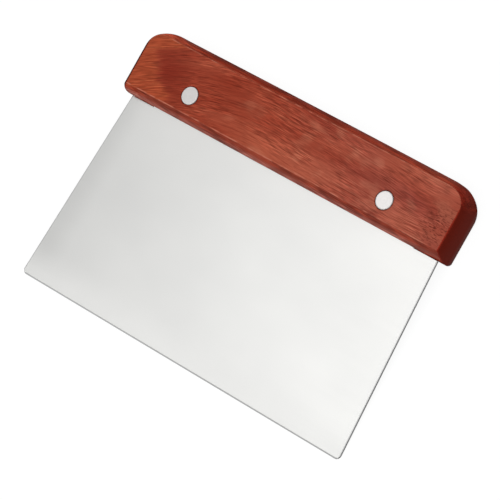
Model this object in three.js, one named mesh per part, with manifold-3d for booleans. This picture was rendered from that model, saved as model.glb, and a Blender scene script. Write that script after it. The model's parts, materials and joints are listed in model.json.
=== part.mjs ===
// Bench dough scraper: a flared stainless blade riveted into a slotted hardwood handle. Millimetres, +Z up.
// Each piece is drawn flat: X runs along the handle, Y from the working edge up to the handle, and Z out
// of the front face, with the blade's middle plane at zero. The finished scraper is then laid on its back, as
// it lies on a bench: on its working edge and on the lower back edge of its handle.
import * as THREE from 'three';
import { mergeVertices } from 'three/addons/utils/BufferGeometryUtils.js';
import Module from 'manifold-3d';

const wasm = await Module();
wasm.setup();

// Blade
const bladeEdgeWidth = 152.4;
const bladeExposedHeight = 76.0;
const bladeFlare = 4.35; // how far each side leans out between the handle and the working edge
const bladeThickness = 1.0;
const bladeCornerRadius = 1.8;
const edgeBevelHeight = 0.5;
const edgeBevelInset = 0.25; // taken off each face

// Handle
const handleOverhang = 1.55; // past the blade's shoulder at each end
const handleHeight = 27.2;
const handleThickness = 14.0;
const handleCornerRadius = 9.5;
const frontBevelHeight = 2.45;
const frontBevelDepth = 4.6;
const frontBevelBlend = 2.4; // from the bevel's foot to each end of the round that leads it into the side
const backRoundHeight = 1.6;
const backRoundDepth = 2.7;

// Tang and the slot that takes it
const tangEndInset = 12.2; // from the handle's end to the tang's end
const tangRise = 7.0; // from the rivets' centre line to the tang's top
const tangCornerRadius = 4.0;
const shoulderGap = 0.1;
const slotSideClearance = 0.3;
const slotEndClearance = 0.3;
const slotTopClearance = 0.3;

// Rivets: a hollow sleeve from the front and a pin from the back
const rivetTangInset = 15.6; // from the tang's end to the rivet's axis
const rivetHeight = 9.35; // above the handle's underside
const rivetHeadDiameter = 6.7;
const rivetHeadThickness = 1.6;
const rivetHeadProud = 0.25;
const rivetHeadChamfer = 0.3;
const rivetHeadLip = 1.3; // how far the head reaches past the sleeve
const sleeveWall = 0.7;
const sleeveFloor = 1.0; // solid metal between the head and the sleeve's bore
const sleeveEndGap = 0.3; // between the sleeve's mouth and the pin's head
const pinTipGap = 0.4;
const pinClearance = 0.1;
const shankClearance = 0.3;
const headClearance = 0.15;
const headSeatGap = 0.1;

// Facets
const cornerSteps = 18;
const blendSteps = 8;
const backRoundSteps = 10;
const roundSteps = 48;
const weldDistance = 1e-5;
const overcut = 5.0; // how far a cutter runs past the surface that it opens

// Worked out from the sizes above
const bladeRootWidth = bladeEdgeWidth - 2 * bladeFlare;
const handleLength = bladeRootWidth + 2 * handleOverhang;
const handleFoot = bladeExposedHeight;
const handleTop = handleFoot + handleHeight;
const frontFace = handleThickness / 2;
const backFace = -handleThickness / 2;
const tangWidth = handleLength - 2 * tangEndInset;
const tangTop = handleFoot + rivetHeight + tangRise;
const rivetX = tangWidth / 2 - rivetTangInset;
const rivetY = handleFoot + rivetHeight;
const headRadius = rivetHeadDiameter / 2;
const sleeveRadius = headRadius - rivetHeadLip;
const boreRadius = sleeveRadius - sleeveWall;
const pinRadius = boreRadius - pinClearance;
const headOuter = handleThickness / 2 + rivetHeadProud;
const headInner = headOuter - rivetHeadThickness;

// A geometry as one closed surface: seam vertices are merged and the empty triangles on an axis dropped.
function welded(geometry) {
  const bare = geometry.clone();
  bare.deleteAttribute('normal');
  bare.deleteAttribute('uv');
  const merged = mergeVertices(bare, weldDistance);
  const corners = merged.index.array;
  const kept = [];
  for (let i = 0; i < corners.length; i += 3) {
    const triangle = Array.from(corners.slice(i, i + 3));
    if (new Set(triangle).size === 3) {
      kept.push(...triangle);
    }
  }
  merged.setIndex(kept);
  return merged;
}

function toSolid(geometry) {
  const closed = welded(geometry);
  const vertProperties = Float32Array.from(closed.attributes.position.array);
  const triVerts = Uint32Array.from(closed.index.array);
  return new wasm.Manifold(new wasm.Mesh({ numProp: 3, vertProperties, triVerts }));
}

function toGeometry(solid) {
  const { vertProperties, triVerts } = solid.getMesh();
  const geometry = new THREE.BufferGeometry();
  geometry.setAttribute('position', new THREE.BufferAttribute(Float32Array.from(vertProperties), 3));
  geometry.setIndex(Array.from(triVerts));
  return geometry;
}

// A closed outline, anticlockwise, through corners given as [x, y, radius].
function roundedOutline(corners) {
  const shape = new THREE.Shape();
  corners.forEach(([x, y, radius], i) => {
    const corner = new THREE.Vector2(x, y);
    if (radius === 0) {
      shape.lineTo(x, y);
      return;
    }
    const [lastX, lastY] = corners.at(i - 1);
    const [nextX, nextY] = corners[(i + 1) % corners.length];
    const back = new THREE.Vector2(lastX, lastY).sub(corner).normalize();
    const ahead = new THREE.Vector2(nextX, nextY).sub(corner).normalize();
    const halfAngle = Math.acos(back.dot(ahead)) / 2;
    const middle = back.clone().add(ahead).normalize();
    const centre = corner.clone().addScaledVector(middle, radius / Math.sin(halfAngle));
    const reach = radius / Math.tan(halfAngle);
    const start = corner.clone().addScaledVector(back, reach).sub(centre).angle();
    const end = corner.clone().addScaledVector(ahead, reach).sub(centre).angle();
    shape.absarc(centre.x, centre.y, radius, start, end, false);
  });
  return shape;
}

// A closed loft through outlines of equal point counts, from the front one to the back one.
function loft(rings) {
  const count = rings[0].length;
  const position = rings.flat().flatMap((point) => point.toArray());
  const index = [];
  for (let level = 0; level + 1 < rings.length; level += 1) {
    for (let i = 0; i < count; i += 1) {
      const a = level * count + i;
      const b = level * count + ((i + 1) % count);
      index.push(a, a + count, b, b, a + count, b + count);
    }
  }
  const backStart = (rings.length - 1) * count;
  const flat = (ring) => ring.map((point) => new THREE.Vector2(point.x, point.y));
  for (const [a, b, c] of THREE.ShapeUtils.triangulateShape(flat(rings[0]), [])) {
    index.push(a, b, c);
  }
  for (const [a, b, c] of THREE.ShapeUtils.triangulateShape(flat(rings.at(-1)), [])) {
    index.push(backStart + a, backStart + c, backStart + b);
  }
  const geometry = new THREE.BufferGeometry();
  geometry.setAttribute('position', new THREE.Float32BufferAttribute(position, 3));
  geometry.setIndex(index);
  return geometry;
}

// A turned piece or cutter: a profile of [radius, z] points, spun round the Z axis.
function turned(profile) {
  const points = profile.map(([radius, z]) => new THREE.Vector2(radius, z));
  return new THREE.LatheGeometry(points, roundSteps).rotateX(Math.PI / 2);
}

// The front's long edges are planed to a bevel with a crisp arris. Listed from the face to the bar's side.
function bevelledEdge() {
  const arris = new THREE.Vector2(frontBevelHeight, frontFace);
  const foot = new THREE.Vector2(0, frontFace - frontBevelDepth);
  const blendStart = arris.clone().sub(foot).setLength(frontBevelBlend).add(foot);
  const blendEnd = new THREE.Vector2(0, foot.y - frontBevelBlend);
  const blend = new THREE.QuadraticBezierCurve(blendStart, foot, blendEnd).getPoints(blendSteps);
  return [arris, ...blend].map(({ x, y }) => ({ inset: x, z: y }));
}

// The back's long edges are rounded by a quarter ellipse. Listed from the bar's side to the face.
function roundedEdge() {
  return Array.from({ length: backRoundSteps + 1 }, (_, i) => {
    const angle = (i / backRoundSteps) * (Math.PI / 2);
    const inset = backRoundHeight * (1 - Math.cos(angle));
    const z = backFace + backRoundDepth * (1 - Math.sin(angle));
    return { inset, z };
  });
}

const frontEdge = bevelledEdge();
const backEdge = roundedEdge();

// The bar's outline at one level of its worked edges. They run along the underside and the top, follow the
// rounded corners and run out there, so the ends stay flat and sharp.
function handleRing({ inset, z }) {
  const right = handleLength / 2;
  const foot = handleFoot + inset;
  const ring = [new THREE.Vector3(-right, foot, z), new THREE.Vector3(right, foot, z)];
  const corner = Array.from({ length: cornerSteps + 1 }, (_, i) => {
    const turn = (i / cornerSteps) * (Math.PI / 2);
    const radius = handleCornerRadius - inset * Math.cos(turn) ** 2;
    const x = right - handleCornerRadius + radius * Math.sin(turn);
    const y = handleTop - handleCornerRadius + radius * Math.cos(turn);
    return new THREE.Vector3(x, y, z);
  });
  ring.push(...corner.toReversed());
  ring.push(...corner.map((point) => new THREE.Vector3(-point.x, point.y, point.z)));
  return ring;
}

function handleSlot() {
  const length = tangWidth + 2 * slotEndClearance;
  const top = tangTop + slotTopClearance;
  const bottom = handleFoot - overcut;
  const width = bladeThickness + 2 * slotSideClearance;
  return new THREE.BoxGeometry(length, top - bottom, width).translate(0, (top + bottom) / 2, 0);
}

// A rivet's hole: wide at both faces for the heads, narrow between them for the shank.
function rivetHole(x) {
  const headHole = headRadius + headClearance;
  const shankHole = sleeveRadius + shankClearance;
  const seat = headInner - headSeatGap;
  const end = headOuter + overcut;
  const profile = [
    [0, -end],
    [headHole, -end],
    [headHole, -seat],
    [shankHole, -seat],
    [shankHole, seat],
    [headHole, seat],
    [headHole, end],
    [0, end],
  ];
  return turned(profile).translate(x, rivetY, 0);
}

function handleGeometry() {
  const bar = loft([...frontEdge, ...backEdge].map(handleRing));
  const cutters = [handleSlot(), rivetHole(-rivetX), rivetHole(rivetX)];
  return toGeometry(cutters.reduce((solid, cutter) => solid.subtract(toSolid(cutter)), toSolid(bar)));
}

function bladeOutline() {
  const edge = bladeEdgeWidth / 2;
  const root = bladeRootWidth / 2;
  const tang = tangWidth / 2;
  const shoulder = handleFoot - shoulderGap;
  const outline = roundedOutline([
    [-edge, 0, bladeCornerRadius],
    [edge, 0, bladeCornerRadius],
    [root, shoulder, 0],
    [tang, shoulder, 0],
    [tang, tangTop, tangCornerRadius],
    [-tang, tangTop, tangCornerRadius],
    [-tang, shoulder, 0],
    [-root, shoulder, 0],
  ]);
  for (const x of [-rivetX, rivetX]) {
    const hole = new THREE.Path().absarc(x, rivetY, sleeveRadius + shankClearance, 0, 2 * Math.PI, true);
    outline.holes.push(hole);
  }
  return outline;
}

// The sheet seen from its end: full thickness, drawn in over the bevel to a blunt working edge.
function bladeSection() {
  const half = bladeThickness / 2;
  const blunt = half - edgeBevelInset;
  const top = tangTop + overcut;
  const section = new THREE.Shape([
    new THREE.Vector2(-blunt, 0),
    new THREE.Vector2(blunt, 0),
    new THREE.Vector2(half, edgeBevelHeight),
    new THREE.Vector2(half, top),
    new THREE.Vector2(-half, top),
    new THREE.Vector2(-half, edgeBevelHeight),
  ]);
  const length = bladeEdgeWidth + 2 * overcut;
  const bar = new THREE.ExtrudeGeometry(section, { depth: length, bevelEnabled: false });
  return bar.rotateY(Math.PI / 2).translate(-length / 2, 0, 0);
}

function bladeGeometry() {
  const depth = bladeThickness + 2 * overcut;
  const options = { depth, bevelEnabled: false, curveSegments: cornerSteps };
  const blank = new THREE.ExtrudeGeometry(bladeOutline(), options).translate(0, 0, -depth / 2);
  return toGeometry(toSolid(blank).intersect(toSolid(bladeSection())));
}

// Front half of a rivet: a head with a hollow shank that is open at the back.
function sleeveGeometry() {
  const mouth = sleeveEndGap - headInner;
  const boreFloor = headInner - sleeveFloor;
  const profile = [
    [0, boreFloor],
    [boreRadius, boreFloor],
    [boreRadius, mouth],
    [sleeveRadius, mouth],
    [sleeveRadius, headInner],
    [headRadius, headInner],
    [headRadius, headOuter - rivetHeadChamfer],
    [headRadius - rivetHeadChamfer, headOuter],
    [0, headOuter],
  ];
  return welded(turned(profile));
}

// Back half of a rivet: a head with a solid shank that reaches up the sleeve's bore.
function pinGeometry() {
  const tip = headInner - sleeveFloor - pinTipGap;
  const profile = [
    [0, -headOuter],
    [headRadius - rivetHeadChamfer, -headOuter],
    [headRadius, rivetHeadChamfer - headOuter],
    [headRadius, -headInner],
    [pinRadius, -headInner],
    [pinRadius, tip],
    [0, tip],
  ];
  return welded(turned(profile));
}

const wood = { color: 0x9a4433, roughness: 0.4, metalness: 0.0 };
const steel = { color: 0xdcdcda, roughness: 0.35, metalness: 1.0 };
const aluminium = { color: 0xd9d7d4, roughness: 0.3, metalness: 1.0 };

function piece(name, geometry, finish) {
  geometry.computeVertexNormals();
  const mesh = new THREE.Mesh(geometry, new THREE.MeshStandardMaterial(finish));
  mesh.name = name;
  return mesh;
}

function rivetHalf(name, geometry, x) {
  const mesh = piece(name, geometry, aluminium);
  mesh.position.set(x, rivetY, 0);
  return mesh;
}

// The tilt at which a flat bench touches the blade near its working edge and the lower back of the handle,
// or the rivets' heads if they reach further.
function benchTilt() {
  const bladeBack = [
    [0, edgeBevelInset - bladeThickness / 2],
    [edgeBevelHeight, -bladeThickness / 2],
  ];
  const handleBack = backEdge.map(({ inset, z }) => [handleFoot + inset, z]);
  handleBack.push([rivetY - headRadius + rivetHeadChamfer, -headOuter]);
  const tilts = bladeBack.map(([edgeY, edgeZ]) =>
    Math.max(...handleBack.map(([y, z]) => Math.atan2(edgeZ - z, y - edgeY))),
  );
  return Math.min(...tilts);
}

const scraper = new THREE.Group();
scraper.add(piece('handle', handleGeometry(), wood));
scraper.add(piece('blade', bladeGeometry(), steel));
scraper.add(rivetHalf('rivet_left_sleeve', sleeveGeometry(), -rivetX));
scraper.add(rivetHalf('rivet_left_pin', pinGeometry(), -rivetX));
scraper.add(rivetHalf('rivet_right_sleeve', sleeveGeometry(), rivetX));
scraper.add(rivetHalf('rivet_right_pin', pinGeometry(), rivetX));

// Lay it on the bench, with the origin under the middle of its box.
scraper.rotation.x = benchTilt();
scraper.updateMatrixWorld(true);
const box = new THREE.Box3().setFromObject(scraper, true);
const middle = box.getCenter(new THREE.Vector3());
scraper.position.set(-middle.x, -middle.y, -box.min.z);

export default scraper;
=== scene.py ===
"""Dresses a bench dough scraper: lacquered hardwood bar, satin steel blade and turned aluminium rivets.

Every piece is drawn flat, as the scraper is made: X runs along the handle, Y from the working edge up to
the handle and Z out of the front face, with the blade's middle plane at zero. It is then leaned back and
laid on the bench, where the frame has it.
"""

import json
import math
from typing import NamedTuple

import bpy
from mathutils import Matrix, Vector, noise


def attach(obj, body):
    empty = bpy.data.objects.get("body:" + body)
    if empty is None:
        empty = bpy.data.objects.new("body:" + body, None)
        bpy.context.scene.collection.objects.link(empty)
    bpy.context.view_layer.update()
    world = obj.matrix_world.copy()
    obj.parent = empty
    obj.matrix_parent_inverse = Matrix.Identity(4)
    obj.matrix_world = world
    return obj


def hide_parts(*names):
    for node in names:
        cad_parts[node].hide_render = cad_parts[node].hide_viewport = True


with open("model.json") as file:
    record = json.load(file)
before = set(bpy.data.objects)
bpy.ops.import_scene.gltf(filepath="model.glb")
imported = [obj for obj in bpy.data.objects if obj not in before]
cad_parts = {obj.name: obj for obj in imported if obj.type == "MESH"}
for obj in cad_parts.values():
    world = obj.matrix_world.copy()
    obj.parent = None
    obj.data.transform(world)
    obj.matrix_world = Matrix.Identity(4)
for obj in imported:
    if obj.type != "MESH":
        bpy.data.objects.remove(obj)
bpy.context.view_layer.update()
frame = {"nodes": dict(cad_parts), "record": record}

MM = 0.001

# Blade
BLADE_EDGE_WIDTH = 152.4 * MM
BLADE_FLARE = 4.35 * MM
BLADE_CORNER_RADIUS = 1.8 * MM
EDGE_BEVEL_HEIGHT = 0.5 * MM
EDGE_BEVEL_INSET = 0.25 * MM
SHEET_EDGE_ROUND = 0.12 * MM
SHEET_MARGIN = 0.3 * MM
SHEET_SKIN = 0.002 * MM
SHOULDER_GAP = 0.1 * MM
TANG_CORNER_RADIUS = 4.0 * MM
TANG_WIDTH = 122.4 * MM
BLADE_ARC_STEPS = 12
SHEET_ROUND_STEPS = 4

# Handle
LEFT_CORNER_RADIUS = 9.0 * MM
RIGHT_CORNER_RADIUS = 10.4 * MM
FRONT_BEVEL_HEIGHT = 2.70 * MM
FRONT_BEVEL_DEPTH = 6.05 * MM
FRONT_BEVEL_BLEND = 0.95 * MM
ARRIS_ROUND = 0.2 * MM
SOFT_EDGE_HEIGHT = 2.7 * MM
SOFT_EDGE_DEPTH = 5.2 * MM
SOFT_EDGE_START = 60.0 * MM
SOFT_EDGE_FULL = 69.0 * MM
SOFT_EDGE_FADE = 5.0 * MM
LOW_SOFT_START = 66.0 * MM
LOW_SOFT_FULL = 72.5 * MM
DEEP_BEVEL_DEPTH = 7.6 * MM
DEEP_BEVEL_BLEND = 0.6 * MM
DEEP_BEVEL_START = 62.0 * MM
DEEP_BEVEL_FULL = 71.5 * MM
BACK_ROUND_HEIGHT = 1.6 * MM
BACK_ROUND_DEPTH = 2.7 * MM
TOP_CAMBER = 0.2 * MM
END_ROUND = 0.35 * MM
FOOT_CORNER = 0.5 * MM
CORNER_FADE = 3
FACE_MARGIN = 0.4 * MM
EDGE_SWAY = 0.14 * MM
SWAY_LENGTH = 9.0 * MM
SLOT_CLEARANCE = 0.3 * MM
SKIN = 0.012 * MM
ARRIS_STEPS = 5
FLAT_STEPS = 8
BLEND_STEPS = 12
BACK_ROUND_STEPS = 18
CORNER_STEPS = 32
LENGTH_STEPS = 64
SIDE_STEPS = 6
FOOT_STEPS = 4

# Rivets
HEAD_THICKNESS = 1.6 * MM
HEAD_ROUND = 0.28 * MM
HEAD_MARGIN = 0.15 * MM
HEAD_LIP = 1.3 * MM
SLEEVE_WALL = 0.7 * MM
SLEEVE_FLOOR = 1.0 * MM
SLEEVE_END_GAP = 0.3 * MM
PIN_TIP_GAP = 0.4 * MM
PIN_CLEARANCE = 0.1 * MM
SHANK_CLEARANCE = 0.3 * MM
HEAD_CLEARANCE = 0.15 * MM
HEAD_SEAT_GAP = 0.1 * MM
RIVET_SIDES = 72
HEAD_ROUND_STEPS = 5
RIVET_SEED = 4
RIVET_COUNT = 2

# View of the photograph, in the flat drawing
FRAME_PIXELS = 500
FOCAL_PIXELS = 3219.42
SENSOR_WIDTH = 36.0
VIEW_TURN = math.radians(31.48)
VIEW_ROLL = math.radians(29.42)
VIEW_DISTANCE = 1134.43 * MM
VIEW_TARGET = Vector((4.02, 47.79, 0.0)) * MM

# Meshes
SHARP_ANGLE = math.radians(40)
OVERCUT = 5.0 * MM

# Noise
NOISE_MIDDLE = 0.5


class Lumps(NamedTuple):
    """Lumps of noise, by size in millimetres. A shift gives other lumps of that size."""

    cell: tuple
    noise: tuple
    strength: tuple = (0.0, 1.0)
    shift: float = 0.0
    detail: float = 1.0


# Colours of the hardwood, which are linear
WOOD_DEEP = (0.190, 0.0190, 0.0095, 1.0)
WOOD_RED = (0.252, 0.0325, 0.0155, 1.0)
WOOD_WARM = (0.322, 0.0545, 0.0280, 1.0)
WOOD_LIGHT = (0.410, 0.0890, 0.0470, 1.0)
WOOD_TONES = [(0.15, WOOD_DEEP), (0.35, WOOD_RED), (0.55, WOOD_WARM), (0.80, WOOD_LIGHT)]
# Painted sheen: a pale pink haze of reflected light, laid on the face towards the right
PINK_SHEEN = (0.004, 0.0150, 0.0165, 1.0)
PALE_BLOB = (0.055, 0.0330, 0.0200, 1.0)
SAP_ORANGE = (0.372, 0.0680, 0.0280, 1.0)
HEART_RED = (0.200, 0.0210, 0.0115, 1.0)
FIBRE_DARK = (0.66, 0.53, 0.53, 1.0)
FIBRE_LIGHT = (1.30, 1.60, 1.62, 1.0)
PORE_BROWN = (0.060, 0.0080, 0.0055, 1.0)
# Painted highlight along the front arrises
ARRIS_HIGHLIGHT = (0.560, 0.1750, 0.1120, 1.0)
TOP_BEVEL = (0.410, 0.0460, 0.0200, 1.0)
TOP_BEVEL_WARM = (0.560, 0.0800, 0.0400, 1.0)
# Painted highlight on the upper bevel, along its arris
TOP_BEVEL_LIT = (0.600, 0.1000, 0.0520, 1.0)
CORNER_RED = (0.410, 0.0300, 0.0145, 1.0)
# Painted reflection along the rim of the upper bevel
RIM_REFLECTION = (0.330, 0.0720, 0.0520, 1.0)
LOW_BEVEL = (0.330, 0.0460, 0.0220, 1.0)
# Painted light reflected from the blade onto the foot of the lower bevel
FOOT_BLADE_REFLECTION = (0.390, 0.1400, 0.1100, 1.0)
END_GRAIN = (0.280, 0.0250, 0.0125, 1.0)
# Painted reflection on the end faces, towards their front and back
END_REFLECTION = (0.280, 0.1000, 0.0850, 1.0)
# Painted shade along the left end's front arris
END_SHADE = (0.060, 0.0120, 0.0090, 1.0)

# Noise of the hardwood, with sizes along, across and through the bar
FIGURE_CELL = (48.0, 5.0, 5.0)
WANDER_CELL = (34.0, 26.0, 26.0)
SEAM_CELL = (7.0, 1.5, 1.5)
# Lumps of the painted pink sheen on the face
SHEEN_LUMPS = Lumps((30.0, 11.0, 11.0), (0.36, 0.62), (0.6, 1.1))
BLOBS = Lumps((9.0, 6.0, 6.0), (0.52, 0.72), shift=5.9)
MOTTLE = Lumps((9.0, 1.6, 1.6), (0.36, 0.62), (0.76, 1.22), shift=4.4)
QUIET = Lumps((20.0, 8.0, 8.0), (0.38, 0.58), (0.35, 1.15), shift=11.7)
DARK_PATCHES = Lumps((13.0, 4.5, 4.5), (0.36, 0.58), (0.25, 1.0))
LIGHT_PATCHES = Lumps((13.0, 4.5, 4.5), (0.38, 0.60), (0.2, 1.0), shift=7.3)
DARK_FIBRES = Lumps((10.0, 0.40, 0.40), (0.53, 0.66), (0.0, 0.85))
LIGHT_FIBRES = Lumps((10.0, 0.40, 0.40), (0.53, 0.66), (0.0, 0.8), shift=3.1)
STREAKS = Lumps((15.0, 0.55, 0.55), (0.58, 0.66), (0.0, 0.75), shift=2.3)
FLECKS = Lumps((4.5, 0.34, 0.34), (0.30, 0.70), (0.70, 1.30))
PORES = Lumps((1.6, 0.42, 0.42), (0.53, 0.63))
# Breaks in the painted highlight along the front arrises
HIGHLIGHT_BREAKS = Lumps((6.0, 2.5, 2.5), (0.42, 0.60), (0.12, 1.0), detail=2.0)
# Lumps of the painted shade round the rivet holes
GAP_SHADE_LUMPS = Lumps((2.4, 2.4, 2.4), (0.35, 0.60), (0.3, 0.9))

# Places on the hardwood, in millimetres from the middle of the bar: spans lie along it, heights across it and
# levels through it. A pair runs from where a mark starts to where it is full.
# A glow or shade has its middle and reach along the bar, its middle and reach across it, and its strength.
GLOWS = [
    ((0.0, 46.0), (-8.0, 10.0), 0.36),
    ((70.0, 66.0), (10.0, 9.0), 0.20),
    ((54.0, 14.0), (-8.0, 9.0), 0.22),
    ((55.0, 12.0), (0.5, 6.0), -0.16),
    ((-33.0, 15.0), (7.0, 7.0), -0.12),
]
BAND_CONTRAST = 0.55
BASE_WARMTH = 0.52
SHEEN_SPAN = (-25.0, 60.0)
BLOB_SPAN = (-38.0, -20.0)
GRAIN_BEND_START = -5.0
GRAIN_BEND = 0.0040
GRAIN_SLOPE = 0.04
GRAIN_SWAY = 2.4
GRAIN_DEPTH = 0.35
FACE_LEVEL = 6.8
SEAM = -63.0
SEAM_SLANT = 0.54
SEAM_SWAY = 9.5
SEAM_BEND_START = 2.5
SEAM_BEND = 0.18
SEAM_FOOT_HEIGHTS = (-4.0, -8.0)
SEAM_FOOT = 4.5
SEAM_BULGE = 2.2
SEAM_BULGE_HEIGHT = 1.0
SEAM_BULGE_REACH = 9.0
SAP_BORDER = (SEAM + 3.2, SEAM - 3.0)
SAP_COVER = 0.85
HEART_BORDER = (SEAM - 1.8, SEAM + 4.8)
HEART_SPAN = (-43.0, -59.0)
HEART_HEIGHT = 0.5
HEART_REACH = 14.0
HEART_COVER = 0.8
HEART_CALM = 0.6
BEVEL_LEVELS = (6.92, 6.65)
BEVEL_COVER = 0.9
WARM_LEFT_SPAN = (-50.0, -62.0)
WARM_RIGHT_SPAN = (-15.0, 45.0)
CORNER_SPAN = (62.0, 69.0)
STRAIGHT_SPAN = (69.0, 62.0)
# Where the painted highlight by the upper arris and the painted reflection along the rim lie
LIT_LEVELS = (5.2, 6.5)
LIT_COVER = 0.8
RIM_LEVELS = (4.4, 2.0)
RIM_COVER = 0.85
RIM_AT_CORNER = 0.3
FOOT_INSETS = (0.8, 2.7)
FOOT_LEVELS = (0.0, 2.5)
UPPER_HEIGHTS = (-2.0, 2.0)
EVEN_SPAN = (10.0, 50.0)
EVEN_SHARE = 0.75
SAP_DARK_SHARE = 0.5
SAP_LIGHT_SHARE = 1.6
OPEN_GRAIN_SPAN = (58.0, 67.0)
OPEN_GRAIN_HEIGHT = -4.0
OPEN_GRAIN_REACH = 13.0
STRAY_PORES = 0.12
PORE_LEVELS = (6.6, 6.9)
PORE_COVER = 0.65
# Where the painted highlight along the front arrises lies, and how much of it shows on the top
HIGHLIGHT_INSET = 0.1
HIGHLIGHT_BREADTH = 0.36
HIGHLIGHT_LEVELS = (6.2, 6.6)
HIGHLIGHT_SPAN = (70.0, 64.0)
TOP_HIGHLIGHT = 0.8
END_CORNER_SPAN = (72.2, 73.3)
END_CORNER_HEIGHTS = (1.0, 4.0)
END_CORNER_LEVELS = (6.85, 6.55)
RIGHT_END_SPAN = (72.85, 73.1)
LEFT_END_SPAN = (-72.45, -72.95)
# How far the painted reflection covers the ends, at their front and at their back
FRONT_REFLECTION_LEVELS = (6.5, -3.5)
FRONT_REFLECTION = 0.2
BACK_REFLECTION_LEVELS = (-3.5, -6.5)
BACK_REFLECTION = 0.7
END_SHADE_LEVELS = (6.3, 6.7)
# Width of the painted shade round the rivet holes
GAP_SHADE_WIDTH = 0.45
WOOD_ROUGHNESS = (0.5, 0.7)
WOOD_GLOSS = 0.025
PORE_RELIEF = 0.35
PORE_DEPTH = 0.05 * MM

# Metals. Places are in millimetres, on the blade from the middle of its working edge.
STEEL_BRIGHT = (0.88, 0.88, 0.862, 1.0)
STEEL_DULL = (0.83, 0.83, 0.815, 1.0)
STEEL_TONES = [(0.3, STEEL_DULL), (0.7, STEEL_BRIGHT)]
STEEL_LINES = (0.025, 8.0, 8.0)
STEEL_CLOUDS = (0.022, 0.033, 0.033)
STEEL_LINE_NOISE = (0.25, 0.75)
STEEL_ROUGHNESS = (0.30, 0.36)
STEEL_RELIEF = 0.08
STEEL_LINE_DEPTH = 0.01 * MM
# Grey of the ground working edge, also painted as shade in a strip along the sheet's sides
GROUND_EDGE_AND_SHADE = (0.50, 0.50, 0.50, 1.0)
GROUND_BLEND = 0.05
# Where the painted shade strip along the sides lies, and how dark it is
SHADE_STRIP_INSETS = (0.55, 0.15)
SHADE_STRIP_COVER = 0.7
SHEARED_EDGE = (0.74, 0.74, 0.74, 1.0)
SHEARED_SHINE = 0.25
SHEARED_LEVELS = (0.48, 0.40)
SHEARED_INSETS = (0.2, 0.1)
# Painted reflected light on the blade: brighter along the working edge, darker along the left side
EDGE_GLOW_HEIGHT = 15.0
EDGE_GLOW_TILT = 0.0016
EDGE_GLOW_GAIN = 0.03
SIDE_SHADE_SPAN = (-62.0, -73.0)
SIDE_SHADE_DEPTH = 0.09
ALUMINIUM_BRIGHT = (0.81, 0.785, 0.775, 1.0)
ALUMINIUM_DULL = (0.74, 0.715, 0.705, 1.0)
ALUMINIUM_TONES = [(0.3, ALUMINIUM_DULL), (0.6, ALUMINIUM_BRIGHT)]
ALUMINIUM_LINES = (0.0, 0.0, 5.0)
ALUMINIUM_CLOUDS = (0.5, 0.5, 0.0)
ALUMINIUM_CLOUD_NOISE = (0.4, 0.7)
ALUMINIUM_CLOUD_COVER = 0.4
ALUMINIUM_RING_NOISE = (0.3, 0.7)
ALUMINIUM_ROUGHNESS = (0.34, 0.28)
SCUFF_BLEND = 0.1
SCUFF_ROUGHNESS = 0.35
FINISH_DETAIL = 2.0

# Stage
WHITE = (1.0, 1.0, 1.0, 1.0)
FLOOR_SIZE = 6.0
FLOOR_DROP = 0.02 * MM
FLOOR_GREY = (0.10, 0.10, 0.10, 1.0)
FLOOR_SEEN_GLOW = 0.93
# Reach of the painted shade round the scraper in the floor's reflections
FLOOR_SHADE_REACH = (0.12, 0.30)
AMBIENT_STRENGTH = 0.30
CEILING_GREY = (0.43, 0.43, 0.43, 1.0)
ZENITH_GREY = (0.10, 0.10, 0.10, 1.0)
SKY_TONES = [(0.30, WHITE), (0.75, CEILING_GREY), (0.87, CEILING_GREY), (0.96, ZENITH_GREY)]
# A lamp has its name, place, aim, size and radiance, and whether the metal mirrors it.
LAMPS = [
    ("overhead_softbox", (0.15, 0.0, 1.1), (0.15, 0.0, 0.0), (1.7, 1.6), 0.73, True),
    ("front_softbox", (0.25, -0.45, 1.25), (0.0, 0.0, 0.0), (1.1, 0.8), 2.38, False),
    ("strip_softbox", (-0.42, -0.1, 1.0), (-0.42, -0.1, 0.0), (0.5, 1.4), 0.30, True),
]


# The flat drawing and its place on the bench


def bench_lean():
    """How far the scraper leans back where it lies, from the way that its blade faces."""
    faces = {mount["name"]: mount["axis"] for mount in frame["record"]["mounts"]}
    across, up = faces["blade_front"][1:]
    return math.atan2(-across, up)


LEAN = bench_lean()


def flat_box(node):
    """A node's lowest and highest corners with the lean taken out."""
    upright = Matrix.Rotation(-LEAN, 4, "X")
    points = [upright @ vertex.co for vertex in frame["nodes"][node].data.vertices]
    return Vector(map(min, zip(*points))), Vector(map(max, zip(*points)))


blade_low, blade_high = flat_box("blade")
handle_low, handle_high = flat_box("handle")
sleeve_low, sleeve_high = flat_box("rivet_right_sleeve")

FLAT_ORIGIN = Vector((0, blade_low.y, (blade_low.z + blade_high.z) / 2))
TO_BENCH = Matrix.Rotation(LEAN, 4, "X") @ Matrix.Translation(FLAT_ORIGIN)

HANDLE_LENGTH = handle_high.x - handle_low.x - 2 * SKIN
HANDLE_FOOT = handle_low.y - FLAT_ORIGIN.y + SKIN
HANDLE_TOP = handle_high.y - FLAT_ORIGIN.y - SKIN
HANDLE_MIDDLE = (HANDLE_FOOT + HANDLE_TOP) / 2
FRONT_FACE = handle_high.z - FLAT_ORIGIN.z - SKIN
BACK_FACE = handle_low.z - FLAT_ORIGIN.z + SKIN
BLADE_HALF = (blade_high.z - blade_low.z) / 2 - SHEET_SKIN
TANG_TOP = blade_high.y - FLAT_ORIGIN.y
RIVET_X = (sleeve_low.x + sleeve_high.x) / 2
RIVET_Y = (sleeve_low.y + sleeve_high.y) / 2 - FLAT_ORIGIN.y
HEAD_RADIUS = (sleeve_high.x - sleeve_low.x) / 2
HEAD_OUTER = sleeve_high.z - FLAT_ORIGIN.z
HEAD_INNER = HEAD_OUTER - HEAD_THICKNESS
SLEEVE_RADIUS = HEAD_RADIUS - HEAD_LIP
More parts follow.
